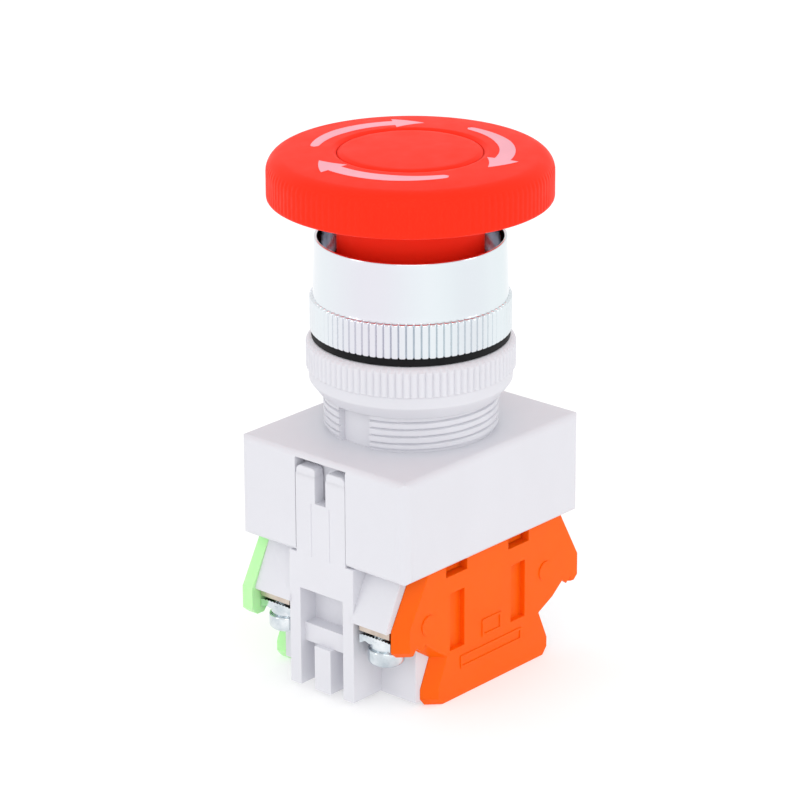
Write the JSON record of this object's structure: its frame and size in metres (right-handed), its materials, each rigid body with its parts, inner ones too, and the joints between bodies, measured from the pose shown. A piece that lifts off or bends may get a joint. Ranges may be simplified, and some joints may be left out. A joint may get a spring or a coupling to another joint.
{
  "type": "emergency stop button",
  "caption": "Push-lock, twist-release mushroom emergency stop button with a threaded panel neck, a knurled bezel and a contact block of one opening and one closing contact.",
  "frame": {"origin": "centre of the panel hole, on the panel's front face (the gasket's underside)", "axes": "+Z towards the operator; X along the housing's long side, through the clip arms and terminals; -Y to the normally closed contact"},
  "size_m": [0.0404, 0.04, 0.0764],
  "materials": {
    "cap_red": "satin moulded plastic with a finely ribbed rim",
    "arrow_print": "pale printed arrows",
    "chrome": "satin chrome plate",
    "gasket_black": "soft black rubber",
    "white_plastic": "fine-grained white moulded plastic",
    "orange_plastic": "orange moulded plastic",
    "green_plastic": "bright green moulded plastic",
    "zinc": "bright zinc-plated steel",
    "plate_metal": "tarnished brass sheet",
    "contact_copper": "copper alloy strip",
    "silver_tip": "silver alloy rivet",
    "spring_steel": "drawn spring wire",
    "ivory_plastic": "natural acetal"
  },
  "bodies": {
    "base": {"upper_housing": "white_plastic", "bezel_ring": "chrome", "skirt_seal": "gasket_black", "gasket": "gasket_black", "latch_pins": "spring_steel", "latch_springs": "spring_steel", "contact_frame": "white_plastic", "nc_cover": "orange_plastic", "no_cover": "green_plastic", "nc_fixed_tips": "silver_tip", "no_fixed_tips": "silver_tip", "nc_plate_left": "plate_metal", "nc_plate_right": "plate_metal", "no_plate_left": "plate_metal", "no_plate_right": "plate_metal", "return_spring": "spring_steel", "nc_spring": "spring_steel", "no_spring": "spring_steel"},
    "stem": {"stem": "ivory_plastic", "pusher_bar": "ivory_plastic", "bar_clip": "spring_steel", "hub_ring": "spring_steel", "twist_spring": "spring_steel"},
    "cap": {"mushroom_cap": "cap_red", "cap_disc": "cap_red", "cap_screws": "zinc", "twist_hub": "ivory_plastic"},
    "nc_contact": {"nc_plunger": "ivory_plastic", "nc_bridge": "contact_copper", "nc_moving_tips": "silver_tip"},
    "no_contact": {"no_plunger": "ivory_plastic", "no_bridge": "contact_copper", "no_moving_tips": "silver_tip"},
    "nut": {"panel_nut": "white_plastic"},
    "nc_clamp_left": {"nc_washer_left": "zinc"},
    "nc_terminal_left": {"nc_screw_left": "zinc"},
    "nc_clamp_right": {"nc_washer_right": "zinc"},
    "nc_terminal_right": {"nc_screw_right": "zinc"},
    "no_clamp_left": {"no_washer_left": "zinc"},
    "no_terminal_left": {"no_screw_left": "zinc"},
    "no_clamp_right": {"no_washer_right": "zinc"},
    "no_terminal_right": {"no_screw_right": "zinc"}
  },
  "joints": [
    {"name": "press", "type": "slide", "parent": "base", "child": "stem", "axis": [0, 0, -1], "range_m": [0, 0.005], "stiffness_N_per_m": 1500, "springref_m": -0.006, "deforming": ["return_spring"]},
    {"name": "twist", "type": "hinge", "parent": "stem", "child": "cap", "pos_m": [0, 0, 0.0243], "axis": [0, 0, 1], "range_deg": [-45, 0], "stiffness_Nm_per_rad": 0.05, "springref_deg": 17.19},
    {"name": "nc_push", "type": "slide", "parent": "base", "child": "nc_contact", "axis": [0, 0, -1], "range_m": [0, 0.005], "deforming": ["nc_spring"]},
    {"name": "no_push", "type": "slide", "parent": "base", "child": "no_contact", "axis": [0, 0, -1], "range_m": [0, 0.005], "deforming": ["no_spring"]},
    {"name": "nut_travel", "type": "slide", "parent": "base", "child": "nut", "axis": [0, 0, -1], "range_m": [0, 0.005]},
    {"name": "nc_clamp_left_lift", "type": "slide", "parent": "base", "child": "nc_clamp_left", "axis": [0, 0, 1], "range_m": [-0.0012, 0.00035]},
    {"name": "nc_terminal_left_turn", "type": "hinge", "parent": "nc_clamp_left", "child": "nc_terminal_left", "pos_m": [-0.0161, -0.0094, -0.0398], "axis": [0, 0, 1], "range_deg": [-720, 210]},
    {"name": "nc_clamp_right_lift", "type": "slide", "parent": "base", "child": "nc_clamp_right", "axis": [0, 0, 1], "range_m": [-0.0012, 0.00035]},
    {"name": "nc_terminal_right_turn", "type": "hinge", "parent": "nc_clamp_right", "child": "nc_terminal_right", "pos_m": [0.0161, -0.0094, -0.0398], "axis": [0, 0, 1], "range_deg": [-720, 210]},
    {"name": "no_clamp_left_lift", "type": "slide", "parent": "base", "child": "no_clamp_left", "axis": [0, 0, 1], "range_m": [-0.0012, 0.00035]},
    {"name": "no_terminal_left_turn", "type": "hinge", "parent": "no_clamp_left", "child": "no_terminal_left", "pos_m": [-0.0161, 0.0094, -0.0398], "axis": [0, 0, 1], "range_deg": [-720, 210]},
    {"name": "no_clamp_right_lift", "type": "slide", "parent": "base", "child": "no_clamp_right", "axis": [0, 0, 1], "range_m": [-0.0012, 0.00035]},
    {"name": "no_terminal_right_turn", "type": "hinge", "parent": "no_clamp_right", "child": "no_terminal_right", "pos_m": [0.0161, 0.0094, -0.0398], "axis": [0, 0, 1], "range_deg": [-720, 210]}
  ],
  "couplings": [
    {"joint": "nc_push", "follows": "press", "ratio": 1},
    {"joint": "no_push", "follows": "press", "ratio": 1},
    {"joint": "nc_terminal_left_turn", "follows": "nc_clamp_left_lift", "rad_per_m": 10471},
    {"joint": "nc_terminal_right_turn", "follows": "nc_clamp_right_lift", "rad_per_m": 10471},
    {"joint": "no_terminal_left_turn", "follows": "no_clamp_left_lift", "rad_per_m": 10471},
    {"joint": "no_terminal_right_turn", "follows": "no_clamp_right_lift", "rad_per_m": 10471}
  ]
}
